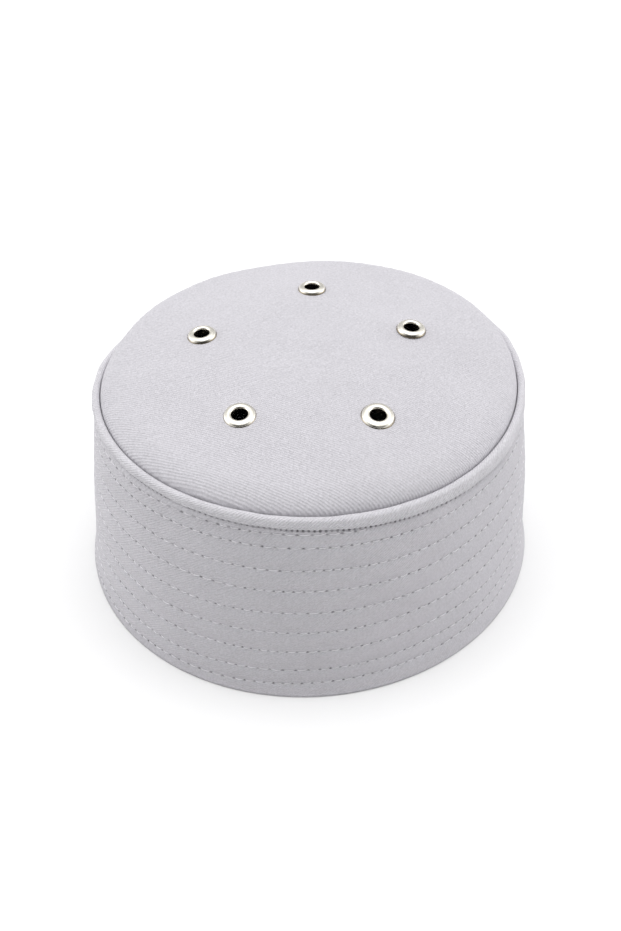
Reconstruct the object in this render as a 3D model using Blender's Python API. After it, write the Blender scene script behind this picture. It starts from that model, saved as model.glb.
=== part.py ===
"""A close-fitting cloth cap that keeps its own shape: a stiff quilted band, a rolled top edge,
a domed crown and five metal eyelets. Metres, +Z up. It stands on its hem at z = 0 and its
front looks towards -Y. Angles are in degrees from +X, anticlockwise seen from above."""

import math

import bmesh
import bpy
import numpy as np
from mathutils import Matrix, Vector

# The cap's outline: the outside of the band at the hem and at the top, how high it rises,
# and how far the top sits to one side of the hem, along X
BASE_RADIUS = 0.0902
RIM_RADIUS = 0.0803
CAP_RISE = 0.0880
RIM_SHIFT = -0.0009

# The band: its wall, its turned-out hem, its swell at half height and its quilted channels
BAND_WALL = 0.0022
HEM_KICK = 0.0019
HEM_KICK_HEIGHT = 0.0060
HEM_BEVEL = 0.0005
BAND_SWELL = 0.0011
CHANNEL_DEPTH = 0.0006

# The rolled edge along the top of the band
ROLL_HEIGHT = 0.0050
ROLL_PROUD = 0.0006

# The crown: its cloth, the seam inside the rolled edge, the cushion at its edge and its dome
CROWN_WALL = 0.0014
SEAM_DROP = 0.0010
TUCK_DEPTH = 0.0028
CUSHION_WIDTH = 0.0090
CUSHION_RISE = 0.0050
DOME_RISE = 0.0085

# The eyelets: a cupped flange above the cloth, a barrel through it and a curled foot below
EYELET_RING_RADIUS = 0.0432
EYELET_BORE_RADIUS = 0.0030
EYELET_METAL = 0.0004
EYELET_FLANGE_RADIUS = 0.0057
EYELET_CUP_HEIGHT = 0.0012
EYELET_FOOT_RADIUS = 0.0045
EYELET_FOOT_HEIGHT = 0.0008

# How far the drill of an eyelet's hole stands out of the cloth on both sides
DRILL_REACH = 0.0050

# Space between pieces that touch on the real cap
CLEARANCE = 0.0003

# Facets round the cap and round an eyelet
CAP_FACETS = 60
EYELET_FACETS = 20
CUTTER_FACETS = 32

# Edges between facets that meet at more than this many degrees stay sharp
SMOOTH_ANGLE = 45.0

# How far each outline is from even: crests round the cap, share of the size, angle of the first crest
BASE_WAVES = ((2, 0.030, 16.0),)
RIM_WAVES = ((2, 0.037, 9.0), (3, 0.005, -10.0))
RISE_WAVES = ((2, 0.017, 43.0),)
ROLL_WAVES = ((1, 0.35, 0.0),)

# How steeply the rim's waves die out towards the middle of the crown: a power of the share outwards
WAVE_FADE = 3

# Quilting rows from the hem up: share of the cap's rise, and how much higher the row is at +X
QUILT_ROWS = (
    (0.077, 0.046),
    (0.159, 0.044),
    (0.273, 0.030),
    (0.388, 0.033),
    (0.503, 0.030),
    (0.624, 0.022),
    (0.735, 0.016),
    (0.854, 0.018),
)

# Rings between the hem and the first quilting row: share of the way up
HEM_RINGS = (0.25, 0.60)

# Rings of the band's inside, from the top down: share of the way from the hem to the top
LINING_RINGS = (1.0, 0.75, 0.50, 0.25, 0.12, 0.06, 0.02)

# Section of the rolled edge: share of its height, share of the way through the wall, share of its bulge
ROLL_SECTION = (
    (0.00, 0.00, 0.10),
    (0.18, 0.00, 0.70),
    (0.45, 0.00, 1.00),
    (0.74, 0.04, 0.85),
    (0.92, 0.20, 0.50),
    (1.00, 0.50, 0.00),
    (0.92, 0.85, 0.00),
    (0.76, 1.00, 0.00),
    (0.00, 1.00, 0.00),
)

# Crown rings: degrees round the cushion's quarter turn, then shares of the way from the centre to it
CUSHION_TURNS = (18.0, 36.0, 54.0, 72.0, 90.0)
DOME_RINGS = (0.86, 0.72, 0.56, 0.38, 0.18)

# The eyelets: name, angle. They were set by hand, so the fifths of the ring are uneven
EYELETS = (
    ("eyelet_right_back", 20.5),
    ("eyelet_back", 88.0),
    ("eyelet_left_back", 164.0),
    ("eyelet_left_front", 235.0),
    ("eyelet_right_front", 306.0),
)

# Section of a flange or foot: share of the way from the bore to its edge, share of its height
FLANGE_SECTION = (
    (0.97, 0.00),
    (1.00, 0.22),
    (0.84, 0.60),
    (0.55, 0.90),
    (0.25, 1.00),
    (0.00, 0.70),
)

# Surface finishes: base colour, metallic, roughness
CROWN_CLOTH = ((0.69, 0.66, 0.71), 0.0, 0.90)
BAND_CLOTH = ((0.60, 0.58, 0.63), 0.0, 0.92)
NICKEL = ((0.82, 0.79, 0.70), 1.0, 0.22)


def clear_scene():
    for old in list(bpy.data.objects):
        bpy.data.objects.remove(old, do_unlink=True)


def finish_material(name, finish):
    colour, metallic, roughness = finish
    material = bpy.data.materials.new(name)
    material.use_nodes = True
    shader = material.node_tree.nodes["Principled BSDF"]
    shader.inputs["Base Color"].default_value = (*colour, 1.0)
    shader.inputs["Metallic"].default_value = metallic
    shader.inputs["Roughness"].default_value = roughness
    return material


def cap_angles():
    return np.linspace(0.0, 2 * math.pi, CAP_FACETS, endpoint=False)


def waved(size, waves, angle):
    """The size with its waves added, at each angle in radians."""
    swing = 0.0
    for crests, share, first in waves:
        swing = swing + share * np.cos(crests * (angle - math.radians(first)))
    return size * (1 + swing)


def rim_height(angle):
    return waved(CAP_RISE, RISE_WAVES, angle)


def roll_foot(angle):
    """Height of the line where the rolled edge sits on the band."""
    return rim_height(angle) - waved(ROLL_HEIGHT, ROLL_WAVES, angle)


def wall_radius(height, angle):
    """Radius of the band's outside: straight from hem to rim, with the hem's kick and a slight swell."""
    share = height / rim_height(angle)
    hem = waved(BASE_RADIUS, BASE_WAVES, angle)
    rim = waved(RIM_RADIUS, RIM_WAVES, angle)
    straight = hem + (rim - hem) * share
    kick = HEM_KICK * np.exp(-height / HEM_KICK_HEIGHT)
    swell = BAND_SWELL * np.sin(math.pi * share)
    return straight + kick + swell


def wall_ring(height, inset, angle):
    """A ring on the band's outside at these heights, moved in by the inset. Its centre shifts as it rises."""
    radius = wall_radius(height, angle) - inset
    share = height / rim_height(angle)
    x = RIM_SHIFT * share + radius * np.cos(angle)
    y = radius * np.sin(angle)
    return np.stack([x, y, height], axis=-1)


def band_rings():
    """The band's closed section, ring by ring: up the outside, over the top and down the inside."""
    angle = cap_angles()
    top = roll_foot(angle) - CLEARANCE
    rows = [rim_height(angle) * (share + lean * np.cos(angle)) for share, lean in QUILT_ROWS]
    ground = np.zeros_like(angle)
    bevel_top = ground + HEM_BEVEL
    rings = [wall_ring(ground, HEM_BEVEL, angle), wall_ring(bevel_top, 0.0, angle)]
    for share in HEM_RINGS:
        rings.append(wall_ring(bevel_top + share * (rows[0] - bevel_top), 0.0, angle))
    for row, above in zip(rows, rows[1:] + [top]):
        rings.append(wall_ring(row, CHANNEL_DEPTH, angle))
        rings.append(wall_ring((row + above) / 2, 0.0, angle))
    rings.append(wall_ring(top, 0.0, angle))
    for share in LINING_RINGS:
        rings.append(wall_ring(top * share, BAND_WALL, angle))
    rings.append(wall_ring(bevel_top, BAND_WALL, angle))
    rings.append(wall_ring(ground, BAND_WALL - HEM_BEVEL, angle))
    return rings


def roll_rings():
    """The rolled edge's closed section: its inner face carries on the inside of the band."""
    angle = cap_angles()
    foot = roll_foot(angle)
    rings = []
    for up, through, bulge in ROLL_SECTION:
        height = foot + up * (rim_height(angle) - foot)
        rings.append(wall_ring(height, through * BAND_WALL - bulge * ROLL_PROUD, angle))
    return rings


def seam_height(angle):
    return rim_height(angle) - SEAM_DROP


def seam_radius(angle):
    return wall_radius(seam_height(angle), angle) - BAND_WALL - CLEARANCE


def crown_height(share, angle):
    """Height of the crown's outside, from its centre, share 0, to the seam, share 1.

    It is a quarter ellipse at the edge, the cushion, on a shallow dome. The rim's waves die out inwards."""
    inward = seam_radius(angle) * (1 - share)
    turn = np.clip(1 - inward / CUSHION_WIDTH, 0.0, 1.0)
    cushion = CUSHION_RISE * np.sqrt(1 - turn**2)
    level = CAP_RISE - SEAM_DROP
    drift = (seam_height(angle) - level) * share**WAVE_FADE
    return level + drift + cushion + DOME_RISE * (1 - share**2)


def crown_ring(share, angle):
    radius = seam_radius(angle) * share
    x = RIM_SHIFT + radius * np.cos(angle)
    return np.stack([x, radius * np.sin(angle), crown_height(share, angle)], axis=-1)


def crown_rings():
    """The crown's outside: the edge tucked into the band, the cushion, and in to the dome's last ring."""
    angle = cap_angles()
    seam = seam_height(angle)
    inset = BAND_WALL + CLEARANCE
    rings = [
        wall_ring(seam - TUCK_DEPTH, inset, angle),
        wall_ring(seam, inset, angle),
    ]
    for turn in CUSHION_TURNS:
        inward = CUSHION_WIDTH * (1 - math.cos(math.radians(turn)))
        rings.append(crown_ring(1 - inward / seam_radius(angle), angle))
    cushion_share = 1 - CUSHION_WIDTH / seam_radius(angle)
    for share in DOME_RINGS:
        rings.append(crown_ring(share * cushion_share, angle))
    return rings


def crown_centre():
    return np.array([RIM_SHIFT, 0.0, float(crown_height(0.0, 0.0))])


def inner_rings(rings, centre, wall):
    """The same rings moved in by the wall, square to the section that each angle cuts."""
    points = np.array(rings)
    outwards = points[:, :, :2] - centre[:2]
    radius = np.linalg.norm(outwards, axis=-1)
    bearing = outwards / radius[..., None]
    height = points[:, :, 2]
    along = np.stack([np.gradient(radius, axis=0), np.gradient(height, axis=0)], axis=-1)
    along /= np.linalg.norm(along, axis=-1, keepdims=True)
    radius = radius - wall * along[..., 1]
    height = height + wall * along[..., 0]
    inner = np.concatenate([centre[:2] + radius[..., None] * bearing, height[..., None]], axis=-1)
    return list(inner)


def add_rings(mesh, rings):
    return [[mesh.verts.new(point) for point in ring] for ring in rings]


def join_rings(mesh, first, second):
    count = len(first)
    for i in range(count):
        j = (i + 1) % count
        mesh.faces.new((first[i], first[j], second[j], second[i]))


def fan_ring(mesh, ring, tip):
    count = len(ring)
    for i in range(count):
        mesh.faces.new((ring[i], ring[(i + 1) % count], tip))


def make_object(name, mesh, material, parent):
    bmesh.ops.recalc_face_normals(mesh, faces=mesh.faces)
    data = bpy.data.meshes.new(name)
    mesh.to_mesh(data)
    mesh.free()
    data.shade_smooth()
    data.set_sharp_from_angle(angle=math.radians(SMOOTH_ANGLE))
    data.materials.append(material)
    return place_object(name, data, parent)


def place_object(name, data, parent):
    made = bpy.data.objects.new(name, data)
    made.parent = parent
    bpy.context.collection.objects.link(made)
    return made


def build_hoop(name, rings, material, parent):
    """A closed hoop whose section is the closed chain of rings."""
    mesh = bmesh.new()
    loops = add_rings(mesh, rings)
    for first, second in zip(loops, loops[1:] + loops[:1]):
        join_rings(mesh, first, second)
    return make_object(name, mesh, material, parent)


def build_crown(material, parent):
    outer = crown_rings()
    centre = crown_centre()
    mesh = bmesh.new()
    outside = add_rings(mesh, outer)
    inside = add_rings(mesh, inner_rings(outer, centre, CROWN_WALL))
    for loops in (outside, inside):
        for first, second in zip(loops, loops[1:]):
            join_rings(mesh, first, second)
    join_rings(mesh, inside[0], outside[0])
    fan_ring(mesh, outside[-1], mesh.verts.new(centre))
    fan_ring(mesh, inside[-1], mesh.verts.new(centre - np.array([0.0, 0.0, CROWN_WALL])))
    return make_object("crown", mesh, material, parent)


def eyelet_profile():
    """The eyelet's closed section as radius and height, from where the barrel meets the flange."""
    barrel = EYELET_BORE_RADIUS + EYELET_METAL
    seat = CLEARANCE
    underside = -CROWN_WALL - CLEARANCE
    flange = EYELET_FLANGE_RADIUS - EYELET_BORE_RADIUS
    foot = EYELET_FOOT_RADIUS - EYELET_BORE_RADIUS
    profile = [(barrel, seat)]
    for out, up in FLANGE_SECTION:
        profile.append((EYELET_BORE_RADIUS + out * flange, seat + up * EYELET_CUP_HEIGHT))
    for out, up in reversed(FLANGE_SECTION):
        profile.append((EYELET_BORE_RADIUS + out * foot, underside - up * EYELET_FOOT_HEIGHT))
    profile.append((barrel, underside))
    return profile


def eyelet_mesh(material):
    """The profile spun round Z."""
    mesh = bmesh.new()
    profile = [mesh.verts.new((radius, 0.0, height)) for radius, height in eyelet_profile()]
    edges = [mesh.edges.new(pair) for pair in zip(profile, profile[1:] + profile[:1])]
    bmesh.ops.spin(
        mesh,
        geom=profile + edges,
        axis=(0.0, 0.0, 1.0),
        cent=(0.0, 0.0, 0.0),
        steps=EYELET_FACETS,
        angle=2 * math.pi,
        use_merge=True,
    )
    bmesh.ops.recalc_face_normals(mesh, faces=mesh.faces)
    data = bpy.data.meshes.new("eyelet")
    mesh.to_mesh(data)
    mesh.free()
    data.shade_smooth()
    data.set_sharp_from_angle(angle=math.radians(SMOOTH_ANGLE))
    data.materials.append(material)
    return data


def crown_frame(angle_degrees):
    """The place on the crown at this angle of the eyelet ring, with local Z square to the cloth."""
    angle = math.radians(angle_degrees)
    radius = EYELET_RING_RADIUS
    step = EYELET_BORE_RADIUS
    span = float(seam_radius(angle))
    point = Vector(crown_ring(radius / span, angle))
    outer = Vector(crown_ring((radius + step) / span, angle))
    inner = Vector(crown_ring((radius - step) / span, angle))
    turn = step / radius
    ahead = Vector(crown_ring(radius / span, angle + turn))
    behind = Vector(crown_ring(radius / span, angle - turn))
    up = (outer - inner).cross(ahead - behind).normalized()
    return Matrix.Translation(point) @ up.to_track_quat("Z", "Y").to_matrix().to_4x4()


def build_eyelets(crown, material, parent):
    """Five eyelets share one mesh, and each has its own hole through the crown."""
    shared = eyelet_mesh(material)
    hole_radius = EYELET_BORE_RADIUS + EYELET_METAL + CLEARANCE
    drill = bmesh.new()
    bmesh.ops.create_cone(
        drill,
        cap_ends=True,
        segments=CUTTER_FACETS,
        radius1=hole_radius,
        radius2=hole_radius,
        depth=CROWN_WALL + 2 * DRILL_REACH,
    )
    drill_data = bpy.data.meshes.new("eyelet_drill")
    drill.to_mesh(drill_data)
    drill.free()
    for name, angle in EYELETS:
        seat = crown_frame(angle)
        eyelet = place_object(name, shared, parent)
        eyelet.matrix_local = seat
        cutter = place_object(name + "_drill", drill_data, parent)
        cutter.matrix_local = seat
        cutter.hide_render = True
        cutter.display_type = "WIRE"
        cut = crown.modifiers.new(name, "BOOLEAN")
        cut.operation = "DIFFERENCE"
        cut.solver = "EXACT"
        cut.object = cutter


def build_cap():
    clear_scene()
    cap = bpy.data.objects.new("cap", None)
    bpy.context.collection.objects.link(cap)
    band_cloth = finish_material("band_cloth", BAND_CLOTH)
    crown_cloth = finish_material("crown_cloth", CROWN_CLOTH)
    nickel = finish_material("nickel", NICKEL)
    build_hoop("band", band_rings(), band_cloth, cap)
    build_hoop("rolled_edge", roll_rings(), band_cloth, cap)
    crown = build_crown(crown_cloth, cap)
    build_eyelets(crown, nickel, cap)


build_cap()
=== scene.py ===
# %% [markdown]
# # A quilted skullcap, from a plain solid to cloth
# The cap has an upright band, stiff with many rows of stitches, a narrow rolled edge along the
# top of the band, and a soft domed crown with five metal eyelets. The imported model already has
# these pieces as plain solids of the right size. This lesson puts cloth, thread and metal over
# them, and every surface is a formula of two parameters that is worked out on a grid with numpy.

import math

import bpy
import numpy as np
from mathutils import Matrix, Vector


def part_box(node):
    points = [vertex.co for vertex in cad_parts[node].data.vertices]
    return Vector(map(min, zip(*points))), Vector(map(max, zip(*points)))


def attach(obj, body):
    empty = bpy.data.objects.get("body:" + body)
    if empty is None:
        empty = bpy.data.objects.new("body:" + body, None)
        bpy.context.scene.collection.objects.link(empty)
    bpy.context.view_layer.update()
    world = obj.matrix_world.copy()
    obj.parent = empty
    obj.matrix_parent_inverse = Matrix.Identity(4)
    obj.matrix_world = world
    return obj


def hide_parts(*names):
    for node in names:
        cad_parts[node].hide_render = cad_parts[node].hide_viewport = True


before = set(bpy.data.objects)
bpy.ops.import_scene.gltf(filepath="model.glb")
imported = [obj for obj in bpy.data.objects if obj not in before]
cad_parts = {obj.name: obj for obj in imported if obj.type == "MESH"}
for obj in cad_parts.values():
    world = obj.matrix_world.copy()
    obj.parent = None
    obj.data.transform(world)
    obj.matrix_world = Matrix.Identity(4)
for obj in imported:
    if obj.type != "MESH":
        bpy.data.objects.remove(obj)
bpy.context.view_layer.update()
print("solids:", sorted(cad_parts))

# %% [markdown]
# ## The shape of the cap
# The cap is a slightly oval cone, wider at the hem than at the rim, and it is close to upright.
# A circle with a small wave added gives the oval: size * (1 + share * cos(crests * angle)). A
# loft between drawn outlines could give the same walls, but a formula can be asked for a point
# at any height and angle, which the stitches need later. The sizes are those of the solids, in
# metres, so that the cloth lies on them without any fitting. Only the back of the rim is set a
# little lower, and pulled in at the left, because the crown hides it there.

# %% Outline of the band
BASE_RADIUS, RIM_RADIUS, CAP_RISE, RIM_SHIFT = 0.0902, 0.0803, 0.0880, -0.0009
BAND_WALL, CLEARANCE = 0.0022, 0.0003
HEM_KICK, HEM_KICK_HEIGHT, BAND_SWELL = 0.0019, 0.0060, 0.0011
ROLL_HEIGHT = 0.0050
# Waves round the cap: number of crests, share of the size, first crest in degrees
BASE_WAVES = ((2, 0.030, 16.0),)
RIM_WAVES = ((2, 0.037, 9.0), (3, 0.005, -10.0))
RISE_WAVES = ((2, 0.017, 43.0),)
ROLL_WAVES = ((1, 0.35, 0.0),)
# The back of the rim: its middle, how far it reaches to each side, where it is full, and its dip
BACK_MIDDLE, BACK_REACH, BACK_SHOULDER, BACK_DIP = 97.0, 86.0, 55.0, 0.0026
# Where the rim is pulled in: middle and width in degrees, and depth
PULL_MIDDLE, PULL_WIDTH, RIM_PULL = 157.0, 15.0, 0.0016


def waved(size, waves, angle):
    """The size, times one plus a cosine for each wave: crests round the cap, share, first crest in degrees."""
    swing = 0.0
    for crests, share, first in waves:
        swing = swing + share * np.cos(crests * (angle - math.radians(first)))
    return size * (1 + swing)


def bell(angle, middle, width):
    """A bell curve on the circle: exponential of the cosine from its middle less one, over the width squared."""
    return np.exp((np.cos(angle - math.radians(middle)) - 1) / math.radians(width) ** 2)


def from_back(angle):
    """Cosine of the angle from the middle of the back."""
    return np.cos(angle - math.radians(BACK_MIDDLE))


def back_share(angle):
    """One along the back of the rim and zero at the front: a smooth step of the cosine of the angle from the back."""
    nearness = from_back(angle)
    far, near = math.cos(math.radians(BACK_REACH)), math.cos(math.radians(BACK_SHOULDER))
    share = np.clip((nearness - far) / (near - far), 0.0, 1.0)
    return share * share * (3 - 2 * share)


def rim_height(angle):
    """Height of the top of the rolled edge at each angle: the waved rise, less a dip at the back."""
    return waved(CAP_RISE, RISE_WAVES, angle) - BACK_DIP * back_share(angle)


def roll_foot(angle):
    """Height of the stitched line where the rolled edge ends on the band."""
    return rim_height(angle) - waved(ROLL_HEIGHT, ROLL_WAVES, angle)


def wall_radius(height, angle):
    """A straight blend from hem to rim, a kick that dies out above the hem and a sine swell, less a bell."""
    share = height / rim_height(angle)
    hem = waved(BASE_RADIUS, BASE_WAVES, angle)
    rim = waved(RIM_RADIUS, RIM_WAVES, angle) - RIM_PULL * bell(angle, PULL_MIDDLE, PULL_WIDTH)
    kick = HEM_KICK * np.exp(-height / HEM_KICK_HEIGHT)
    return hem + (rim - hem) * share + kick + BAND_SWELL * np.sin(math.pi * share)


def wall_point(height, inset, angle):
    """A point of the band's outside at this height and angle, moved in by the inset."""
    radius = wall_radius(height, angle) - inset
    x = RIM_SHIFT * height / rim_height(angle) + radius * np.cos(angle)
    return np.stack([x, radius * np.sin(angle), height + 0 * angle], axis=-1)


print("rim height from", rim_height(np.linspace(0, 6.28, 90)).min().round(4), "m")

# %% [markdown]
# ## Where the stitches go
# The band is quilted with rows of straight stitches. They aren't level: all rows climb a little
# towards one side, as they do when a long strip is sewn by hand under the machine. Each row is
# a height for every angle. The stitches are counted along it, so that a whole number is a
# needle hole, and the thread between two holes shows as a short dash. The rows could be drawn
# as curves by hand, but as functions the relief, the holes and the thread all agree on them.

# %% Rows of stitches
# Share of the rise, climb towards +X, stitches round the cap, place of the first stitch
QUILTING = (
    (0.077, 0.046, 137, 0.10),
    (0.159, 0.044, 132, 0.65),
    (0.273, 0.030, 138, 0.30),
    (0.388, 0.033, 130, 0.85),
    (0.503, 0.030, 134, 0.45),
    (0.624, 0.022, 128, 0.20),
    (0.735, 0.016, 131, 0.75),
    (0.854, 0.018, 124, 0.55),
    (0.922, 0.018, 108, 0.35),
)
BINDING_STITCHES = 248
ROW_UNDER_ROLL = 0.0009
# Drifts of the sewing speed: size in stitches, waves round the cap, turn for the row's first stitch
SEWING_DRIFTS = ((0.35, 5, 9), (0.22, 11, 4))


def row_height(row, angle):
    """Share of the rise plus a cosine climb, but no higher than just under the rolled edge."""
    share, climb, _, _ = QUILTING[row]
    height = rim_height(angle) * (share + climb * np.cos(angle))
    return np.minimum(height, roll_foot(angle) - ROW_UNDER_ROLL)


def top_row_shows(angle):
    """True where the top row runs free of the rolled edge."""
    share, climb, _, _ = QUILTING[-1]
    return rim_height(angle) * (share + climb * np.cos(angle)) < roll_foot(angle) - ROW_UNDER_ROLL


def stitch_count(count, first, angle):
    """Stitches counted from +X: even round the cap, but for two slow drifts of the sewing speed."""
    drift = sum(size * np.sin(waves * angle + turn * first) for size, waves, turn in SEWING_DRIFTS)
    return count * angle / (2 * math.pi) + first + drift


print(sum(row[2] for row in QUILTING) + BINDING_STITCHES, "stitches round the cap")

# %% [markdown]
# ## From a grid of points to a mesh
# All cloth here is a grid that closes round the cap: a list of rings, each with the same number
# of columns. Quads join neighbouring rings. A texture map needs one more column than the mesh,
# because the last column meets the first again but its pattern has to carry on. Modelling
# tools could stitch such a grid face by face, but whole arrays do it at once.

# %% Grid helpers


def hoop_quads(rings, columns, closed=False):
    """Corners of all quads between neighbouring rings, anticlockwise seen from outside, and their map corners."""
    count = rings if closed else rings - 1
    ring, column = np.meshgrid(np.arange(count), np.arange(columns), indexing="ij")
    above, after = (ring + 1) % rings, (column + 1) % columns
    corners = [ring * columns + column, ring * columns + after]
    corners += [above * columns + after, above * columns + column]
    wide = columns + 1
    map_corners = [ring * wide + column, ring * wide + column + 1]
    map_corners += [above * wide + column + 1, above * wide + column]
    return np.stack(corners, -1).reshape(-1, 4), np.stack(map_corners, -1).reshape(-1, 4)


def surface(name, points, *groups, maps=None, map_groups=()):
    """Puts points and groups of equal-sided faces into a smooth mesh object, with its texture maps."""
    points = np.asarray(points, np.float32).reshape(-1, 3)
    corners = np.concatenate([faces.ravel() for faces in groups]).astype(np.int32)
    sides = np.concatenate([np.full(len(faces), faces.shape[1]) for faces in groups])
    mesh = bpy.data.meshes.new(name)
    mesh.vertices.add(len(points))
    mesh.vertices.foreach_set("co", points.ravel())
    mesh.loops.add(len(corners))
    mesh.loops.foreach_set("vertex_index", corners)
    mesh.polygons.add(len(sides))
    mesh.polygons.foreach_set("loop_start", (np.cumsum(sides) - sides).astype(np.int32))
    for map_name, values in (maps or {}).items():
        layer = mesh.uv_layers.new(name=map_name)
        map_corners = np.concatenate([faces.ravel() for faces in map_groups])
        layer.uv.foreach_set("vector", np.asarray(values, np.float32).reshape(-1, 2)[map_corners].ravel())
    mesh.update(calc_edges=True)
    mesh.validate()
    mesh.shade_smooth()
    made = bpy.data.objects.new(name, mesh)
    bpy.context.scene.collection.objects.link(made)
    return made


def round_angles(columns):
    """Angles of the columns, and the same with the full turn added for the texture maps."""
    full = np.linspace(0.0, 2 * math.pi, columns + 1)
    return full[:-1], full


# %% [markdown]
# ## Small helpers for nodes
# The light of the sky and every material are trees of nodes. They could be wired up by hand in
# the editor, but three short functions keep the trees as readable as sums: one adds a node
# with its settings, one does arithmetic, and one makes a smooth step.

# %% Node helpers


def node(tree, kind, **settings):
    """A new node with these settings and input values. A value may be a number, a colour or another node's output."""
    made = tree.nodes.new(kind)
    for key, value in settings.items():
        if hasattr(made, key):
            setattr(made, key, value)
            continue
        socket = made.inputs[int(key[1:])] if key[1:].isdigit() else made.inputs[key.replace("_", " ")]
        if isinstance(value, bpy.types.NodeSocket):
            tree.links.new(value, socket)
        else:
            socket.default_value = value
    return made


def maths(tree, operation, first, second=0.0, third=0.0):
    """One sum of the Math node."""
    return node(tree, "ShaderNodeMath", operation=operation, i0=first, i1=second, i2=third).outputs[0]


def fade(tree, value, start, end, low=0.0, high=1.0):
    """A smooth step from low to high as the value goes from start to end."""
    ends = {"i1": start, "i2": end, "i3": low, "i4": high}
    return node(tree, "ShaderNodeMapRange", interpolation_type="SMOOTHSTEP", i0=value, **ends).outputs[0]


# %% [markdown]
# ## The camera and the light
# The photograph looks down on the cap by about 44 degrees from half a metre away. It was taken
# on a white table in a white tent that is open towards the camera, so light comes from above,
# from both sides and from behind, and the front of the band is the darkest side. Lamps could
# stand round the cap for this. A sky needs none: it is dark towards the front and pale behind,
# with a bright patch overhead and one at each flank.

# %% Camera
scene = bpy.context.scene
CAMERA_TILT, CAMERA_DISTANCE, CAMERA_AIM_HEIGHT = 44.352, 0.49929, 0.0385
# Focal length as a share of the picture's longer side, both in pixels, and the film in millimetres
FOCAL_SHARE, FILM = 1191.4 / 931, 36.0

camera_data = bpy.data.cameras.new("camera")
camera_data.sensor_fit = "AUTO"
camera_data.sensor_width = FILM
camera_data.lens = FILM * FOCAL_SHARE
camera_data.clip_start = 0.01
camera = bpy.data.objects.new("camera", camera_data)
tilt = math.radians(CAMERA_TILT)
camera.location = (0.0, -CAMERA_DISTANCE * math.cos(tilt), CAMERA_AIM_HEIGHT + CAMERA_DISTANCE * math.sin(tilt))
camera.rotation_euler = (math.pi / 2 - tilt, 0.0, 0.0)
scene.collection.objects.link(camera)
scene.camera = camera
scene.view_settings.view_transform = "Standard"
scene.view_settings.look = "None"

# %% White tent
# Strength of the tent's walls, of its open side, of the patch overhead and of those at the flanks
TENT_LIGHT, OPEN_SIDE_LIGHT, ROOF_LIGHT, FLANK_LIGHT = 0.64, 0.0, 2.66, 1.95
# Where the walls fade and where the opening is full, how far the roof reaches over the opening,
# and the power that keeps the patches small
TENT_EDGE, OPEN_EDGE, ROOF_REACH, FOCUS = -0.30, 0.45, 0.24, 4.5

world = bpy.data.worlds.new("white_tent")
scene.world = world
world.use_nodes = True
sky = world.node_tree
background = sky.nodes["Background"]
background.inputs["Color"].default_value = (1.0, 1.0, 1.0, 1.0)
direction = node(sky, "ShaderNodeTexCoord").outputs["Generated"]
to_flank, to_back, to_top = node(sky, "ShaderNodeSeparateXYZ", i0=direction).outputs
openness = maths(sky, "MULTIPLY", maths(sky, "MULTIPLY_ADD", to_top, ROOF_REACH, to_back), -1.0)
tent = fade(sky, openness, TENT_EDGE, OPEN_EDGE, TENT_LIGHT, OPEN_SIDE_LIGHT)
roof = maths(sky, "POWER", maths(sky, "MAXIMUM", to_top, 0.0), FOCUS)
roofed = maths(sky, "MULTIPLY_ADD", roof, ROOF_LIGHT, tent)
flank = maths(sky, "POWER", maths(sky, "ABSOLUTE", to_flank), FOCUS)
flanked = maths(sky, "MULTIPLY_ADD", flank, FLANK_LIGHT, roofed)
sky.links.new(flanked, background.inputs["Strength"])

# %% Pale floor
FLOOR_REACH, FLOOR_WHITE, FLOOR_ROUGHNESS = 6.0, 0.82, 0.8

floor_mesh = bpy.data.meshes.new("floor")
floor_corners = [(x * FLOOR_REACH, y * FLOOR_REACH, 0.0) for x, y in ((-1, -1), (1, -1), (1, 1), (-1, 1))]
floor_mesh.from_pydata(floor_corners, [], [(0, 1, 2, 3)])
floor = bpy.data.objects.new("floor", floor_mesh)
scene.collection.objects.link(floor)
white = bpy.data.materials.new("white_table")
white.use_nodes = True
white_shader = white.node_tree.nodes["Principled BSDF"]
white_shader.inputs["Base Color"].default_value = (FLOOR_WHITE, FLOOR_WHITE, FLOOR_WHITE, 1.0)
white_shader.inputs["Roughness"].default_value = FLOOR_ROUGHNESS
floor_mesh.materials.append(white)

# %% [markdown]
# ## Cotton twill
# Twill shows fine slanting ridges. They are a sine across the slant, broken up by a finer sine
# along it, where one yarn passes over the next. The same height drives both the bump and a
# painted shade in the colour, darker in the hollows between yarns. Noise in two sizes adds
# the slubs and the cloudiness of washed cotton. Needle holes are painted shade: dark spots
# where the distance to a whole stitch and to the row are both small. All this could be real
# relief in the mesh, but ridges under a millimetre would take millions of faces, and from
# here they look the same.
# The crown is cut from another piece of the cloth, so its ridges slant in their own direction.

# %% Twill
TWILL_PITCH, YARN_PITCH = 0.00092, 0.00046
BAND_SLANT, CROWN_SLANT = 52.0, 113.0
# How much the painted shade of the twill's hollows, the slubs and the clouds change the colour
TWILL_HOLLOW_SHADE, SLUB_TONE, CLOUD_TONE = 0.085, 0.66, 0.09
WANDER_SCALE, SLUB_SCALE, CLOUD_SCALE, PATCH_SCALE = 90.0, 1250.0, 60.0, 160.0
# How far ridges wander, how much the yarns break them up, and what brings the sum to 0 to 1
RIDGE_WANDER, YARN_SHARE, WOVEN_RANGE = 5.0, 0.35, 0.37
SLUB_RISE, HOLE_SINK, BUMP_STRENGTH, BUMP_DEPTH = 0.8, 3.0, 0.7, 0.00020
CLOTH_FINISH = {"Roughness": 0.88, "Specular IOR Level": 0.25, "Sheen Weight": 0.12, "Sheen Roughness": 0.45}


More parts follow.
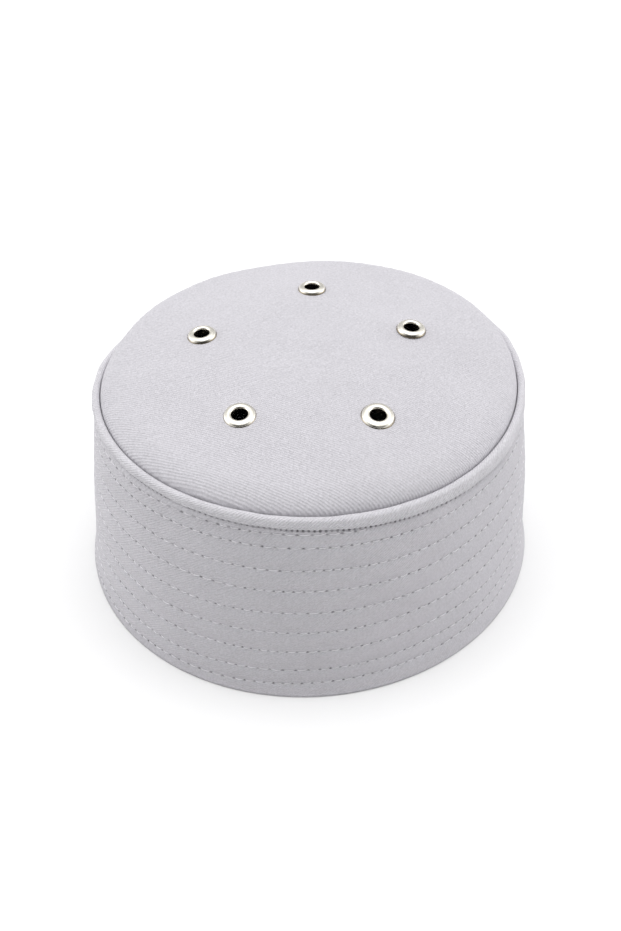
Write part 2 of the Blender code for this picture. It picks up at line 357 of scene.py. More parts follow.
def twill_height(tree, weave_map, slant):
    """Sine across the slant times one plus a finer sine along it, from 0 in the hollows to 1 on the ridges."""
    place = node(tree, "ShaderNodeUVMap", uv_map=weave_map).outputs[0]
    wander = node(tree, "ShaderNodeTexNoise", Vector=place, Scale=WANDER_SCALE, Detail=2.0, Roughness=0.6).outputs[0]
    turned = node(tree, "ShaderNodeMapping", Vector=place, Rotation=(0.0, 0.0, math.radians(slant)))
    across, along, _ = node(tree, "ShaderNodeSeparateXYZ", Vector=turned.outputs[0]).outputs
    drift = maths(tree, "MULTIPLY", wander, RIDGE_WANDER)
    ridge = maths(tree, "SINE", maths(tree, "MULTIPLY_ADD", across, 2 * math.pi / TWILL_PITCH, drift))
    yarn = maths(tree, "SINE", maths(tree, "MULTIPLY_ADD", along, 2 * math.pi / YARN_PITCH, drift))
    woven = maths(tree, "MULTIPLY_ADD", yarn, YARN_SHARE, ridge)
    return maths(tree, "MULTIPLY_ADD", woven, WOVEN_RANGE, 0.5)


def needle_hole_shade_and_sink(tree, row_map, pitch, hole_length, hole_height):
    """One inside a needle hole and zero outside, for its painted shade and its sink: an ellipse about each whole
    stitch on the row.
    """
    place = node(tree, "ShaderNodeUVMap", uv_map=row_map).outputs[0]
    count, away, _ = node(tree, "ShaderNodeSeparateXYZ", Vector=place).outputs
    beside = maths(tree, "MULTIPLY", maths(tree, "PINGPONG", count, 0.5), pitch / hole_length)
    above = maths(tree, "MULTIPLY", away, 1 / hole_height)
    square = maths(tree, "MULTIPLY_ADD", above, above, maths(tree, "MULTIPLY", beside, beside))
    return fade(tree, square, 0.25, 1.6, 1.0, 0.0)


def twill_cloth(name, colour, weave_map, slant, rows=(), rib=1.0):
    """Matt cotton: twill, slubs and clouds in colour and bump, with painted shade in the twill's hollows and in the
    needle holes of the rows.
    """
    material = bpy.data.materials.new(name)
    material.use_nodes = True
    tree = material.node_tree
    shader = tree.nodes["Principled BSDF"]
    for socket, value in CLOTH_FINISH.items():
        shader.inputs[socket].default_value = value
    here = node(tree, "ShaderNodeTexCoord").outputs["Object"]
    weave = twill_height(tree, weave_map, slant)
    slub = node(tree, "ShaderNodeTexNoise", Vector=here, Scale=SLUB_SCALE, Detail=3.0, Roughness=0.7).outputs[0]
    cloud = node(tree, "ShaderNodeTexNoise", Vector=here, Scale=CLOUD_SCALE, Detail=3.0, Roughness=0.5).outputs[0]
    # Painted shade: the colour is darker in the twill's hollows and lighter on its ridges.
    tone = maths(tree, "MULTIPLY_ADD", maths(tree, "SUBTRACT", weave, 0.5), TWILL_HOLLOW_SHADE * rib, 1.0)
    tone = maths(tree, "MULTIPLY_ADD", maths(tree, "SUBTRACT", slub, 0.5), SLUB_TONE, tone)
    tone = maths(tree, "MULTIPLY_ADD", maths(tree, "SUBTRACT", cloud, 0.5), CLOUD_TONE, tone)
    height = maths(tree, "MULTIPLY_ADD", slub, SLUB_RISE, maths(tree, "MULTIPLY", weave, rib))
    for row_map, pitch, hole_length, hole_height, depth in rows:
        hole = needle_hole_shade_and_sink(tree, row_map, pitch, hole_length, hole_height)
        patchy = node(tree, "ShaderNodeTexNoise", Vector=here, Scale=PATCH_SCALE, Detail=1.0).outputs[0]
        hole = maths(tree, "MULTIPLY", hole, fade(tree, patchy, 0.25, 0.75, 0.45, 1.25))
        # Painted shade: each needle hole darkens the colour by its depth and also sinks the bump.
        tone = maths(tree, "MULTIPLY", tone, maths(tree, "MULTIPLY_ADD", hole, -depth, 1.0))
        height = maths(tree, "MULTIPLY_ADD", hole, -HOLE_SINK * depth, height)
    tint = node(tree, "ShaderNodeVectorMath", operation="SCALE", i0=colour, Scale=tone).outputs[0]
    tree.links.new(tint, shader.inputs["Base Color"])
    bump = node(tree, "ShaderNodeBump", Strength=BUMP_STRENGTH, Distance=BUMP_DEPTH, Height=height).outputs[0]
    tree.links.new(bump, shader.inputs["Normal"])
    return material


CLOTH_COLOUR = (0.510, 0.499, 0.530)
# The rolled edge is the band's own cloth, painted lighter: a painted highlight for the light on its round top.
ROLL_PAINTED_HIGHLIGHT_COLOUR = (0.570, 0.559, 0.590)
# Name of the map, length of a stitch, length and height of a hole, and the strength of its painted shade, which also
# sinks the bump
QUILT_HOLE_SHADE = ("quilting", 0.0042, 0.00078, 0.00042, 0.50)
BINDING_HOLE_SHADE = ("binding", 0.0021, 0.00060, 0.00064, 0.64)
band_twill = twill_cloth("band_twill", CLOTH_COLOUR, "weave", BAND_SLANT, (QUILT_HOLE_SHADE, BINDING_HOLE_SHADE))
roll_twill_painted_highlight = twill_cloth("roll_twill_painted_highlight", ROLL_PAINTED_HIGHLIGHT_COLOUR, "weave", BAND_SLANT, (BINDING_HOLE_SHADE,), rib=1.6)
crown_twill = twill_cloth("crown_twill", CLOTH_COLOUR, "weave", CROWN_SLANT, rib=1.15)

# %% [markdown]
# ## The band
# The quilting pulls the band in along each row and leaves soft ridges between the rows. The
# depth of the pull is a wide and a narrow bell curve about the row, and it is deeper at each
# needle hole than between them. A cloth simulation with sewing springs could find the same
# folds, but the formula puts them exactly under the rows of the photograph. The rings lie close
# together at the rows, where the surface bends quickly, and far apart between them, so the
# grid stays light.

# %% Relief of the band
QUILT_DIP, QUILT_DIP_WIDTH = 0.00030, 0.0021
THREAD_SEAT, THREAD_SEAT_WIDTH = 0.00024, 0.00042
PUCKER, PUCKER_REACH = 0.00010, 0.0012
# Long waves of the band: crests round the cap and folds up its height, and the size of one
UNEVEN_WAVES = ((2, 1), (3, 2), (5, 1), (7, 3), (9, 2), (13, 4))
UNEVEN = 0.00028
# Heights over which the relief fades out at the hem and at the rim
HEM_FADE, RIM_FADE = 0.004, 0.006


def row_distances(height, angle):
    """Height above each quilting row, one layer for each row."""
    return np.stack([height - row_height(row, angle) for row in range(len(QUILTING))])


def unevenness(angle, height):
    """A few long waves in both directions, fixed by a seed, because no two stretches of a sewn band lie alike."""
    chance = np.random.default_rng(7)
    total = 0.0
    for crests, folds in UNEVEN_WAVES:
        turn, lift = chance.uniform(0, 2 * math.pi, 2)
        upward = np.sin(math.pi * folds * height / CAP_RISE + lift)
        total = total + np.sin(crests * angle + turn) * upward / crests**0.5
    return UNEVEN * total


def band_relief(height, angle):
    """Bell curves about each row, a cosine pucker that dies out away from it, and the long waves."""
    away = row_distances(height, angle)
    dip = QUILT_DIP * np.exp(-((away / QUILT_DIP_WIDTH) ** 2))
    dip = dip + THREAD_SEAT * np.exp(-((away / THREAD_SEAT_WIDTH) ** 2))
    counts = np.stack([stitch_count(row[2], row[3], angle) for row in QUILTING])
    pucker = PUCKER * np.cos(2 * math.pi * counts) * np.exp(-np.abs(away) / PUCKER_REACH)
    fade_out = np.clip(height / HEM_FADE, 0.0, 1.0) * np.clip((rim_height(angle) - height) / RIM_FADE, 0.0, 1.0)
    return unevenness(angle, height) * fade_out - (dip + pucker).sum(0)


# %% Rings of the band
BAND_COLUMNS = 660
RINGS_BETWEEN_ROWS = 10
HEM_ROUNDING, HEM_STEPS = 0.0011, 9
# How far the band goes on under the roll, how fast it moves in there, and the nip at the roll's foot
TUCK_UNDER_ROLL, TUCK_SLOPE = 0.0012, 0.7
FOOT_NIP, FOOT_NIP_WIDTH = 0.00045, 0.0006
INNER_SHARES = (1.0, 0.9, 0.78, 0.64, 0.5, 0.36, 0.22, 0.1)
# Radius that turns angles into lengths for the weave, and the map value for "no row is near"
WEAVE_RADIUS, FAR_AWAY = 0.0855, 0.5


def eased(steps):
    """Shares from 0 up to 1 that crowd at both ends: half of one minus a cosine."""
    return 0.5 - 0.5 * np.cos(math.pi * np.arange(steps) / steps)


def band_points():
    """Up the outside, where rings crowd at the rows, then in at the top, down the inside and round the hem."""
    _, full = round_angles(BAND_COLUMNS)
    stops = [HEM_ROUNDING + 0 * full] + [row_height(row, full) for row in range(len(QUILTING))] + [roll_foot(full)]
    shares = eased(RINGS_BETWEEN_ROWS)
    heights = [low + share * (high - low) for low, high in zip(stops, stops[1:]) for share in shares]
    heights = np.array(heights + [stops[-1], stops[-1] + TUCK_UNDER_ROLL])
    wide = np.broadcast_to(full, heights.shape)
    inset = -band_relief(heights, wide)
    from_foot = heights - roll_foot(wide)
    nip = FOOT_NIP * np.exp(-((from_foot / FOOT_NIP_WIDTH) ** 2))
    inset = inset + nip + np.clip(from_foot, 0, None) * TUCK_SLOPE
    outside = wall_point(heights, inset, wide)
    turn = np.linspace(0.0, math.pi, HEM_STEPS)[1:-1]
    top = roll_foot(full) + TUCK_UNDER_ROLL
    inner_heights = HEM_ROUNDING + np.array(INNER_SHARES)[:, None] * (top - CLEARANCE - HEM_ROUNDING)
    inside = wall_point(inner_heights, BAND_WALL, np.broadcast_to(full, inner_heights.shape))
    hem_heights = HEM_ROUNDING * (1 - np.sin(turn))[:, None] + 0 * full
    hem_inset = BAND_WALL / 2 * (1 + np.cos(turn))[:, None] + 0 * full
    hem = wall_point(hem_heights, hem_inset, np.broadcast_to(full, hem_heights.shape))
    return np.concatenate([outside, inside, hem]), wide, heights


def cloth_lengths(points, start=0.0):
    """Lengths on the cloth: round the cap from the angle, and across it from the mean steps between rings."""
    rings, columns = points.shape[:2]
    steps = np.linalg.norm(np.diff(points, axis=0), axis=-1).mean(1)
    across = np.concatenate([[0.0], np.cumsum(steps)]) + start
    _, full = round_angles(columns - 1)
    around = np.broadcast_to(full * WEAVE_RADIUS, (rings, columns))
    return np.stack([around, np.broadcast_to(across[:, None], (rings, columns))], -1)


points, wide, heights = band_points()
rings = len(points)
away = row_distances(heights, wide)
away[-1] = np.where(top_row_shows(wide), away[-1], FAR_AWAY)
nearest = np.abs(away).argmin(0)
counts = np.stack([stitch_count(row[2], row[3], wide) for row in QUILTING])
quilting = np.full((rings, BAND_COLUMNS + 1, 2), FAR_AWAY)
quilting[: len(heights), :, 0] = np.take_along_axis(counts, nearest[None], 0)[0]
quilting[: len(heights), :, 1] = np.abs(away).min(0)
binding = np.full((rings, BAND_COLUMNS + 1, 2), FAR_AWAY)
binding[: len(heights), :, 0] = stitch_count(BINDING_STITCHES, 0.0, wide)
binding[: len(heights), :, 1] = np.abs(heights - roll_foot(wide))
faces, map_faces = hoop_quads(rings, BAND_COLUMNS, closed=True)
maps = {"weave": cloth_lengths(points), "quilting": quilting, "binding": binding}
band = surface("band_cloth", points[:, :-1], faces, maps=maps, map_groups=[map_faces])
band.data.materials.append(band_twill)
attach(band, "root")
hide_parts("band")
print("band:", len(faces), "quads")

# %% [markdown]
# ## The rolled edge
# The top of the band is folded over and stitched down, which leaves a soft roll. Its section
# is half a stadium: up the outside with a bulge, over a round top and down the inside. The
# dense stitches pull its foot in, once for each stitch, and small folds run up from them. A
# curve with a round section could stand for it, but it would sit on the band like a cord.

# %% Rolled edge
ROLL_COLUMNS = 1000
ROLL_BULGE, ROLL_STEPS_UP, ROLL_STEPS_OVER = 0.0008, 9, 10
# Uneven thickness: size, waves round the cap, turn
ROLL_SWELLS = ((0.00010, 23, 1.0), (0.00008, 41, 2.0), (0.00012, 9, 0.0))
# The bulge is this part of half a sine wave, from its start over its span
BULGE_START, BULGE_SPAN = 0.08, 0.60
# Pull of the seam, what each stitch adds, how far up it reaches and how strong it is at the foot
SEAM_PULL, STITCH_PULL, PULL_REACH, PULL_STRENGTH = 0.00030, 0.00010, 0.14, 2.2
# Folds: depth, and how far and how often they leave the stitches' beat
RIB_DEPTH, RIB_WANDER, RIB_WAVES = 0.00009, 1.3, 31
# Share of the roll's height for a middle ring on its inside, and the length from which its weave goes on
INNER_STEP, ROLL_MAP_START = 0.4, 0.0830


def roll_points():
    """Outside: a sine bulge from foot to shoulder. Top: half a circle of the wall's thickness. Inside: straight."""
    _, full = round_angles(ROLL_COLUMNS)
    foot, top, half = roll_foot(full), rim_height(full), BAND_WALL / 2
    wave = sum(size * np.sin(waves * full + turn) for size, waves, turn in ROLL_SWELLS)
    shoulder = top - half - foot
    beat = 2 * math.pi * stitch_count(BINDING_STITCHES, 0.0, full)
    pull = SEAM_PULL + STITCH_PULL * np.cos(beat)
    rib = RIB_DEPTH * np.cos(beat + RIB_WANDER * np.sin(RIB_WAVES * full))
    rows = []
    for share in np.linspace(0.0, 1.0, ROLL_STEPS_UP):
        bulge = (ROLL_BULGE + wave) * math.sin(math.pi * (BULGE_START + BULGE_SPAN * share))
        bulge = bulge - pull * math.exp(-((share / PULL_REACH) ** 2)) * PULL_STRENGTH
        bulge = bulge - rib * math.sin(math.pi * share)
        rows.append((foot + share * shoulder, -bulge))
    edge = rows[-1][1]
    for turn in np.linspace(0.0, math.pi, ROLL_STEPS_OVER)[1:]:
        middle = (edge + BAND_WALL) / 2
        reach = (BAND_WALL - edge) / 2
        rows.append((foot + shoulder + (half + wave) * math.sin(turn), middle - reach * math.cos(turn)))
    rows.append((foot + INNER_STEP * shoulder, BAND_WALL + 0 * full))
    rows.append((foot, BAND_WALL + 0 * full))
    points = np.array([wall_point(height, inset, full) for height, inset in rows])
    return points, np.array([height for height, _ in rows])


points, heights = roll_points()
rings = len(points)
_, full = round_angles(ROLL_COLUMNS)
counts = np.broadcast_to(stitch_count(BINDING_STITCHES, 0.0, full), heights.shape)
binding = np.stack([counts, np.abs(heights - roll_foot(full))], -1)
binding[ROLL_STEPS_UP:, :, 1] = FAR_AWAY
faces, map_faces = hoop_quads(rings, ROLL_COLUMNS, closed=True)
maps = {"weave": cloth_lengths(points, ROLL_MAP_START), "binding": binding}
rolled_edge = surface("rolled_edge_cloth", points[:, :-1], faces, maps=maps, map_groups=[map_faces])
rolled_edge.data.materials.append(roll_twill_painted_highlight)
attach(rolled_edge, "root")
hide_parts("rolled_edge")
print("rolled edge:", len(faces), "quads")

# %% [markdown]
# ## The crown
# The crown is one round sheet. It leaves the seam almost upright, turns over in a small cushion
# and then climbs gently to the middle. The height is a quarter ellipse at the edge on top of a
# shallow dome. Along the back the cushion stands up more, until it hides the rolled edge, and
# small puckers run in from the seam. A cloth simulation could let the sheet settle, but then
# the eyelets would have to look for their places. Holes are cut by leaving out the quads at
# each eyelet and pulling the rim of that gap onto a circle, which is cleaner than a Boolean.
# The Solidify modifier then gives the cloth its thickness.

# %% Shape of the crown
CROWN_WALL, SEAM_DROP, TUCK_DEPTH = 0.0014, 0.0010, 0.0028
CUSHION_WIDTH, CUSHION_RISE, DOME_RISE, WAVE_FADE = 0.0090, 0.0050, 0.0085, 3
# The cushion at the back: its extra rise and how fast that dies out inwards, what it gains towards
# both ends of the back and towards the left one, and how much narrower it is
BACK_CUSHION, BACK_CUSHION_FADE = 0.0027, 4
SHOULDER_RISE, LEFT_FULLNESS, BACK_NARROWING = 1.9, 0.2, 0.22
# Two places where it is fuller or flatter: middle and width in degrees, and rise
CUSHION_BELLS = ((13.0, 10.0, 0.0030), (36.0, 12.0, -0.0010))
# Radius of the ring of eyelets, and the short step that feels the slope there
EYELET_RING_RADIUS, SEAT_STEP = 0.0432, 0.003


def seam_height(angle):
    """The seam lies just below the top of the rolled edge."""
    return rim_height(angle) - SEAM_DROP


def seam_radius(angle):
    """The crown's edge lies inside the band."""
    return wall_radius(seam_height(angle), angle) - BAND_WALL - CLEARANCE


def cushion_width(angle):
    """The cushion turns over in a shorter way at the back."""
    return CUSHION_WIDTH * (1 - BACK_NARROWING * back_share(angle))


def crown_height(share, angle):
    """Quarter ellipse at the edge, parabola for the dome, and the rim's waves and bells, which die out inwards."""
    inward = seam_radius(angle) * (1 - share)
    turn = np.clip(1 - inward / cushion_width(angle), 0.0, 1.0)
    level = CAP_RISE - SEAM_DROP
    drift = (seam_height(angle) - level) * share**WAVE_FADE
    leftward = np.sin(angle - math.radians(BACK_MIDDLE))
    shoulders = 1 + SHOULDER_RISE * (1 - from_back(angle)) + LEFT_FULLNESS * leftward
    bells = sum(rise * bell(angle, middle, width) for middle, width, rise in CUSHION_BELLS)
    cushion = CUSHION_RISE + (BACK_CUSHION * back_share(angle) * shoulders + bells) * share**BACK_CUSHION_FADE
    return level + drift + cushion * np.sqrt(1 - turn**2) + DOME_RISE * (1 - share**2)


def crown_point(share, angle):
    """A point of the crown's outside, from the middle, share 0, to the seam, share 1."""
    radius = seam_radius(angle) * share
    return np.stack([RIM_SHIFT + radius * np.cos(angle), radius * np.sin(angle), crown_height(share, angle)], -1)


def eyelet_seat(degrees):
    """Place on the crown and the direction square to it, from the cross product of two short steps."""
    angle = math.radians(degrees)
    span = seam_radius(angle)
    share, turn = EYELET_RING_RADIUS / span, SEAT_STEP / EYELET_RING_RADIUS
    farther, nearer = (EYELET_RING_RADIUS + SEAT_STEP) / span, (EYELET_RING_RADIUS - SEAT_STEP) / span
    out = crown_point(farther, angle) - crown_point(nearer, angle)
    around = crown_point(share, angle + turn) - crown_point(share, angle - turn)
    up = np.cross(out, around)
    return crown_point(share, angle), up / np.linalg.norm(up)


# Angle from +X in degrees, and how much wider than usual the setting tool has spread the flange
EYELETS = {
    "right_back": (20.5, 1.03),
    "back": (88.0, 1.0),
    "left_back": (164.0, 1.03),
    "left_front": (235.0, 1.10),
    "right_front": (306.0, 1.12),
}
seats = {name: (*eyelet_seat(degrees), spread) for name, (degrees, spread) in EYELETS.items()}
for name, (point, up, _) in seats.items():
    low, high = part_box("eyelet_" + name)
    off = np.abs((np.array(low) + np.array(high)) / 2 - point).max() * 1000
    print(name, "lies", round(float(off), 2), "mm from its solid's middle")

# %% Cloth of the crown
CROWN_COLUMNS, HOLE_RADIUS = 480, 0.0036
CUSHION_STEPS, DOME_STEPS = 18, 64
# Puckers: size of one, and how far in they reach
SEAM_PUCKER, PUCKER_LENGTH = 0.00007, 0.0065
# Long waves of the crown: their lengths and the size of the longest
CROWN_WAVE_LENGTHS, CROWN_UNEVEN = (0.110, 0.074, 0.052, 0.038, 0.027), 0.00022
# Height above the seam over which waves and puckers come in
SETTLE_HEIGHT = 0.004


def crown_unevenness(points):
    """Long soft waves in X and Y, fixed by a seed."""
    chance = np.random.default_rng(11)
    total = 0.0
    for length in CROWN_WAVE_LENGTHS:
        for _ in range(2):
            bearing, turn = chance.uniform(0, 2 * math.pi, 2)
            run = points[..., 0] * math.cos(bearing) + points[..., 1] * math.sin(bearing)
            total = total + (length / CROWN_WAVE_LENGTHS[0]) * np.sin(2 * math.pi * run / length + turn)
    return CROWN_UNEVEN * total


def seam_puckers(angle, inward):
    """Three sines round the cap that die out exponentially inwards from the seam, where the cloth is eased in."""
    waves = np.sin(97 * angle + 2 * np.sin(5 * angle)) + np.sin(61 * angle + 1.0) + 0.7 * np.sin(151 * angle)
    return SEAM_PUCKER * waves * np.exp(-inward / PUCKER_LENGTH)


def crown_cloth_points():
    """Rings from the tucked edge, up through the cushion and in over the dome to a ring close to the middle."""
    _, full = round_angles(CROWN_COLUMNS)
    inset = BAND_WALL + CLEARANCE
    seam = seam_height(full)
    rows = [wall_point(seam - TUCK_DEPTH * share, inset, full) for share in (1.0, 0.66, 0.33)]
    for turn in np.linspace(0.0, math.pi / 2, CUSHION_STEPS):
        rows.append(crown_point(1 - cushion_width(full) * (1 - math.cos(turn)) / seam_radius(full), full))
    inner = 1 - cushion_width(full) / seam_radius(full)
    for share in np.linspace(1.0, 0.0, DOME_STEPS + 1)[1:-1]:
        rows.append(crown_point(share * inner, full))
    points = np.array(rows)
    settled = np.clip((points[..., 2] - seam) / SETTLE_HEIGHT, 0.0, 1.0)
    inward = seam_radius(full) - np.hypot(points[..., 0] - RIM_SHIFT, points[..., 1])
    points[..., 2] += (crown_unevenness(points) + seam_puckers(full, inward)) * settled
    return points


# %% Cut the holes and close the middle
points = crown_cloth_points()
rings = len(points)
grid = points[:, :-1].reshape(-1, 3).copy()
faces, map_faces = hoop_quads(rings, CROWN_COLUMNS)
inside_any = np.zeros(len(grid), bool)
for point, up, spread in seats.values():
    offset = grid - point
    offset = offset - (offset @ up)[:, None] * up
    distance = np.linalg.norm(offset, axis=1)
    hole = HOLE_RADIUS * spread
    inside = (distance < hole) & (grid[:, 2] > CAP_RISE)
    rim = np.zeros(len(grid), bool)
    rim[faces[inside[faces].any(1)].ravel()] = True
    rim &= ~inside
    grid[rim] += offset[rim] * (hole / distance[rim, None] - 1)
    inside_any |= inside
kept = ~inside_any[faces].any(1)
faces, map_faces = faces[kept], map_faces[kept]
first, column = (rings - 1) * CROWN_COLUMNS, np.arange(CROWN_COLUMNS)
fan = np.stack([first + column, first + (column + 1) % CROWN_COLUMNS, 0 * column + len(grid)], -1)
map_first = (rings - 1) * (CROWN_COLUMNS + 1)
map_fan = np.stack([map_first + column, map_first + column + 1, 0 * column + rings * (CROWN_COLUMNS + 1)], -1)
grid = np.vstack([grid, grid[first:].mean(0)])
weave = np.vstack([points[..., :2].reshape(-1, 2), grid[-1:, :2]])
kept_points = np.append(~inside_any, True)
renumber = np.cumsum(kept_points) - 1
maps = {"weave": weave}
crown_faces = (renumber[faces], renumber[fan])
crown = surface("crown_cloth", grid[kept_points], *crown_faces, maps=maps, map_groups=[map_faces, map_fan])
thick = crown.modifiers.new("cloth_thickness", "SOLIDIFY")
thick.thickness, thick.offset, thick.use_even_offset = CROWN_WALL, -1.0, False
crown.data.materials.append(crown_twill)
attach(crown, "root")
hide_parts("crown")
print("crown:", len(faces), "quads with five holes")

# %% [markdown]
# ## Thread
# Each stitch is a short bar of thread that comes out of one needle hole and goes down the next.
# Its centre line follows the row and rises and falls like half a sine wave, and a ring of six
# points is carried along it. A bevelled curve for each stitch could do the same, but over a
# thousand stitches are quicker as one array, so there is no loop over them.

# %% Stitches
THREAD_RADIUS, THREAD_LIFT, THREAD_SINK, THREAD_SLANT = 0.00016, 0.00030, 0.00016, 0.00016
THREAD_STATIONS, THREAD_SIDES, END_SLIMNESS = 7, 6, 0.55
# Where a bar starts and ends between two holes, the power that shapes its rise, and how far up it faces
BAR_START, BAR_END, RISE_POWER, OUTWARD_TILT = 0.07, 0.93, 0.7, 0.12
# The dense row lies just under the foot of the roll
BINDING_DROP, BINDING_INSET = 0.0001, 0.00052
# Angles and count of the table that turns a stitch number back into an angle
TABLE_MARGIN, TABLE_STEPS = 0.4, 6000


def stitch_bars(centres, outward):
    """A ring of points round each station of each stitch, and the quads between rings and the two end caps."""
    stitches, stations = centres.shape[:2]
    run = np.gradient(centres, axis=1)
    run /= np.linalg.norm(run, axis=-1, keepdims=True)
    side = np.cross(run, outward)
    side /= np.linalg.norm(side, axis=-1, keepdims=True)
    face = np.cross(side, run)
    turn = np.arange(THREAD_SIDES) * 2 * math.pi / THREAD_SIDES
    slim = np.array([END_SLIMNESS] + [1.0] * (stations - 2) + [END_SLIMNESS])[None, :, None, None] * THREAD_RADIUS
    ring = np.cos(turn)[:, None] * side[:, :, None] + np.sin(turn)[:, None] * face[:, :, None]
    points = centres[:, :, None] + slim * ring
    quads, _ = hoop_quads(stations, THREAD_SIDES)
    start = np.arange(stitches)[:, None, None] * stations * THREAD_SIDES
    near = np.arange(THREAD_SIDES)[::-1]
    caps = np.stack([near, near[::-1] + (stations - 1) * THREAD_SIDES])
    return points, (start + quads).reshape(-1, 4), (start + caps).reshape(-1, THREAD_SIDES)


def row_of_stitches(count, first, height_at, inset_at, lean):
    """Centre lines of one row: equal shares between the angles at which the stitch count is a whole number."""
    table = np.linspace(-TABLE_MARGIN, 2 * math.pi + TABLE_MARGIN, TABLE_STEPS)
    holes = np.arange(math.ceil(first), math.ceil(first) + count + 1)
    hole_angles = np.interp(holes, stitch_count(count, first, table), table)
    share = np.linspace(BAR_START, BAR_END, THREAD_STATIONS)
    angle = hole_angles[:-1, None] + share * np.diff(hole_angles)[:, None]
    rise = THREAD_LIFT * np.sin(math.pi * share) ** RISE_POWER - THREAD_SINK
    height = height_at(angle) + lean * (share - 0.5)
    outward = np.stack([np.cos(angle), np.sin(angle), OUTWARD_TILT + 0 * angle], -1)
    return wall_point(height, inset_at(height, angle) - rise, angle), outward


def band_inset(height, angle):
    """How far the quilted surface lies inside the plain wall."""
    return -band_relief(height, angle)


# %% Thread of all rows
centres, outwards = [], []
for number, (_, _, count, first) in enumerate(QUILTING):
    bars, outward = row_of_stitches(count, first, lambda angle: row_height(number, angle), band_inset, THREAD_SLANT)
    if number == len(QUILTING) - 1:
        middle = bars[:, THREAD_STATIONS // 2]
        shows = top_row_shows(np.arctan2(middle[:, 1], middle[:, 0]))
        bars, outward = bars[shows], outward[shows]
    centres.append(bars)
    outwards.append(outward)
points, sides, caps = stitch_bars(np.concatenate(centres), np.concatenate(outwards))
quilting_thread = surface("quilting_thread", points, sides, caps)
print("quilting thread:", len(points), "stitches")


def binding_height(angle):
    """Height of the dense row."""
    return roll_foot(angle) - BINDING_DROP


def binding_inset(height, angle):
    """The same inset all round."""
    return BINDING_INSET + 0 * angle


bars, outward = row_of_stitches(BINDING_STITCHES, 0.0, binding_height, binding_inset, 0.0)
points, sides, caps = stitch_bars(bars, outward)
binding_thread = surface("binding_thread", points, sides, caps)
print("binding thread:", len(points), "stitches")

# %% Finish of the thread
THREAD_ROUGHNESS, THREAD_SHEEN, THREAD_SCALE = 0.62, 0.2, 260.0


def thread_finish(name, colour):
    """Spun cotton: smoother and a little shinier than the cloth, with uneven tone from stitch to stitch."""
    material = bpy.data.materials.new(name)
    material.use_nodes = True
    tree = material.node_tree
    shader = tree.nodes["Principled BSDF"]
    shader.inputs["Roughness"].default_value = THREAD_ROUGHNESS
    shader.inputs["Sheen Weight"].default_value = THREAD_SHEEN
    here = node(tree, "ShaderNodeTexCoord").outputs["Object"]
    uneven = node(tree, "ShaderNodeTexNoise", Vector=here, Scale=THREAD_SCALE, Detail=2.0).outputs[0]
    tone = fade(tree, uneven, 0.3, 0.7, 0.86, 1.08)
    tint = node(tree, "ShaderNodeVectorMath", operation="SCALE", i0=colour, Scale=tone).outputs[0]
    tree.links.new(tint, shader.inputs["Base Color"])
    return material


# The binding thread is darker than the quilting thread: painted shade for the ditch under the rolled edge where it
# lies.
QUILTING_THREAD_COLOUR, BINDING_THREAD_SHADED_COLOUR = (0.72, 0.71, 0.74), (0.46, 0.45, 0.48)
for thread, colour in ((quilting_thread, QUILTING_THREAD_COLOUR), (binding_thread, BINDING_THREAD_SHADED_COLOUR)):
    thread.data.materials.append(thread_finish(thread.name, colour))
    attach(thread, "root")

# %% [markdown]
# ## Eyelets
# An eyelet is a thin metal tube with a domed flange, pushed through the cloth from above and
# curled over below. It is a turned shape: one outline, carried round the axis. The Screw
# modifier could turn it, but as a grid it gets its texture map at once. The outline is joined
# from arcs, so the flange catches the light as a smooth ring. The map holds radius and height,
# so the nickel gets painted shade low down in the bore and at the low outer edge of the flange.

# %% Outline of an eyelet
BORE_RADIUS, EYELET_METAL, FLANGE_RADIUS, CUP_HEIGHT = 0.0030, 0.0004, 0.0057, 0.0015
FOOT_RADIUS, FOOT_HEIGHT = 0.0045, 0.0008
# The flange's crest as a share of its radius, and the round of its edge: half width and half height
CREST_SHARE, EDGE_WIDTH, EDGE_HEIGHT = 0.68, 0.00022, 0.00024


def arc(centre, radii, start, end, steps):
    """Points of an ellipse about a centre, from one angle to another in degrees."""
    turn = np.radians(np.linspace(start, end, steps))
    return np.stack([centre[0] + radii[0] * np.cos(turn), centre[1] + radii[1] * np.sin(turn)], -1)


def eyelet_outline():
    """Radius and height: under the flange, round its edge, over the dome, down the bore and out round the foot."""
    crest = CREST_SHARE * FLANGE_RADIUS
    barrel = BORE_RADIUS + EYELET_METAL
    under = -CROWN_WALL
    parts = [
        np.array([[barrel, 0.0001]]),
        arc((FLANGE_RADIUS - EDGE_WIDTH, 0.00012), (EDGE_WIDTH, EDGE_HEIGHT), -90, 40, 8),
        arc((crest, 0.00020), (FLANGE_RADIUS - EDGE_WIDTH - crest, CUP_HEIGHT), 14, 90, 16),
        arc((crest, 0.45 * CUP_HEIGHT), (crest - BORE_RADIUS, 0.55 * CUP_HEIGHT + 0.00020), 96, 180, 10),
        np.array([[BORE_RADIUS, share * under] for share in (0.0, 0.5, 1.0)]),
        arc((FOOT_RADIUS, under), (FOOT_RADIUS - BORE_RADIUS, FOOT_HEIGHT), 188, 270, 8),
        arc((FOOT_RADIUS, under - FOOT_HEIGHT / 2), (0.0002, FOOT_HEIGHT / 2), -70, 90, 8),
        np.array([[barrel, under - 0.0001]]),
    ]
    return np.concatenate(parts)


EYELET_COLUMNS = 72
outline = eyelet_outline()
turn, _ = round_angles(EYELET_COLUMNS)
faces, map_faces = hoop_quads(len(outline), EYELET_COLUMNS, closed=True)
outline_radius = np.repeat(outline[:, :1], EYELET_COLUMNS + 1, 1) / FLANGE_RADIUS
outline_height = np.repeat(outline[:, 1:], EYELET_COLUMNS + 1, 1) / CUP_HEIGHT
turning = np.stack([outline_radius, outline_height], -1)
print("eyelet:", len(faces), "quads")

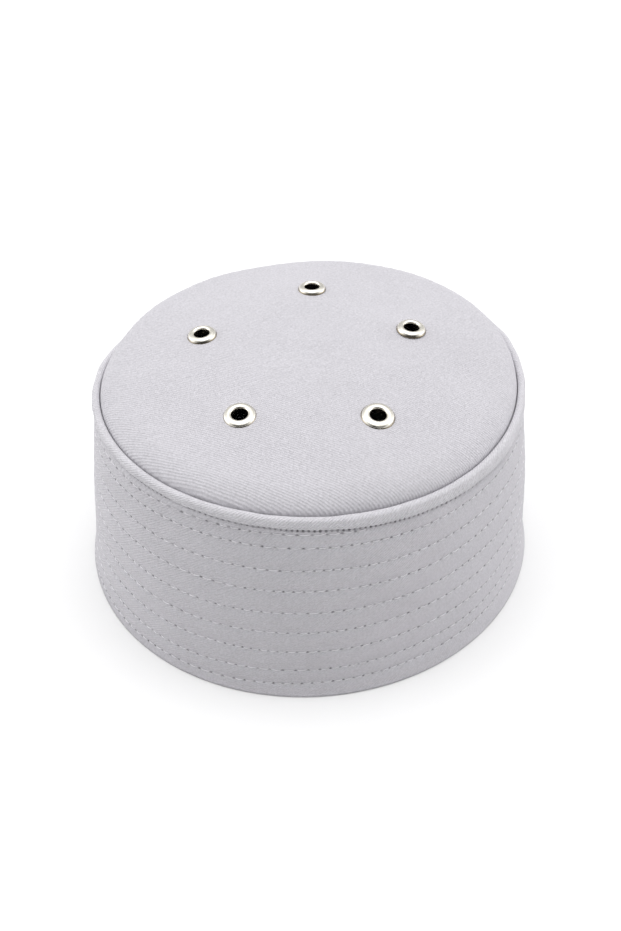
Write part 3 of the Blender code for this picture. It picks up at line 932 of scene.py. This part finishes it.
# %% Nickel
NICKEL_COLOUR, SHADE_AND_DIRT_COLOUR = (0.79, 0.76, 0.69, 1.0), (0.24, 0.20, 0.14, 1.0)
SMEAR_SCALE, SCRATCH_SCALE = 420.0, 2600.0

nickel = bpy.data.materials.new("nickel_painted_shade_and_dirt")
nickel.use_nodes = True
tree = nickel.node_tree
shader = tree.nodes["Principled BSDF"]
shader.inputs["Metallic"].default_value = 1.0
here = node(tree, "ShaderNodeTexCoord").outputs["Object"]
smear = node(tree, "ShaderNodeTexNoise", Vector=here, Scale=SMEAR_SCALE, Detail=3.0).outputs[0]
scratch = node(tree, "ShaderNodeTexNoise", Vector=here, Scale=SCRATCH_SCALE, Detail=2.0).outputs[0]
tree.links.new(fade(tree, smear, 0.3, 0.75, 0.16, 0.34), shader.inputs["Roughness"])
place = node(tree, "ShaderNodeUVMap", uv_map="turning").outputs[0]
out, up_share, _ = node(tree, "ShaderNodeSeparateXYZ", Vector=place).outputs
# Painted shade: the colour is darker at the low outer edge of the flange and low in the bore; noise adds smears of
# real grime.
edge_painted_shade = maths(tree, "MULTIPLY", fade(tree, out, 0.88, 0.98), fade(tree, up_share, 0.62, 0.20))
bore_painted_shade = maths(tree, "MULTIPLY", fade(tree, out, 0.56, 0.53, 0.0, 0.75), fade(tree, up_share, 0.55, 0.1))
shade_and_dirt = maths(tree, "MAXIMUM", edge_painted_shade, bore_painted_shade)
shade_and_dirt = maths(tree, "MAXIMUM", shade_and_dirt, fade(tree, smear, 0.55, 0.85, 0.0, 0.28))
shade_and_dirt_mix = node(tree, "ShaderNodeMix", data_type="RGBA", i0=shade_and_dirt, i6=NICKEL_COLOUR, i7=SHADE_AND_DIRT_COLOUR)
tree.links.new(shade_and_dirt_mix.outputs[2], shader.inputs["Base Color"])
scratches = node(tree, "ShaderNodeBump", Strength=0.25, Distance=0.00004, Height=scratch)
tree.links.new(scratches.outputs[0], shader.inputs["Normal"])

# %% Set the eyelets on the crown
for name, (point, up, spread) in seats.items():
    side = np.cross((0.0, 1.0, 0.0), up)
    side /= np.linalg.norm(side)
    axes = np.stack([side, np.cross(up, side), up])
    wider = (spread * FLANGE_RADIUS - BORE_RADIUS) / (FLANGE_RADIUS - BORE_RADIUS)
    radius = BORE_RADIUS + (outline[:, 0] - BORE_RADIUS) * wider
    turned = np.stack([radius[:, None] * np.cos(turn), radius[:, None] * np.sin(turn), outline[:, 1:] + 0 * turn], -1)
    placed = turned @ axes + point
    eyelet = surface("eyelet_" + name + "_metal", placed, faces, maps={"turning": turning}, map_groups=[map_faces])
    eyelet.data.materials.append(nickel)
    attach(eyelet, "root")
    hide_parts("eyelet_" + name)

# %% [markdown]
# ## The last line
# The view layer is brought up to date once more.

# %% Update the view layer
bpy.context.view_layer.update()
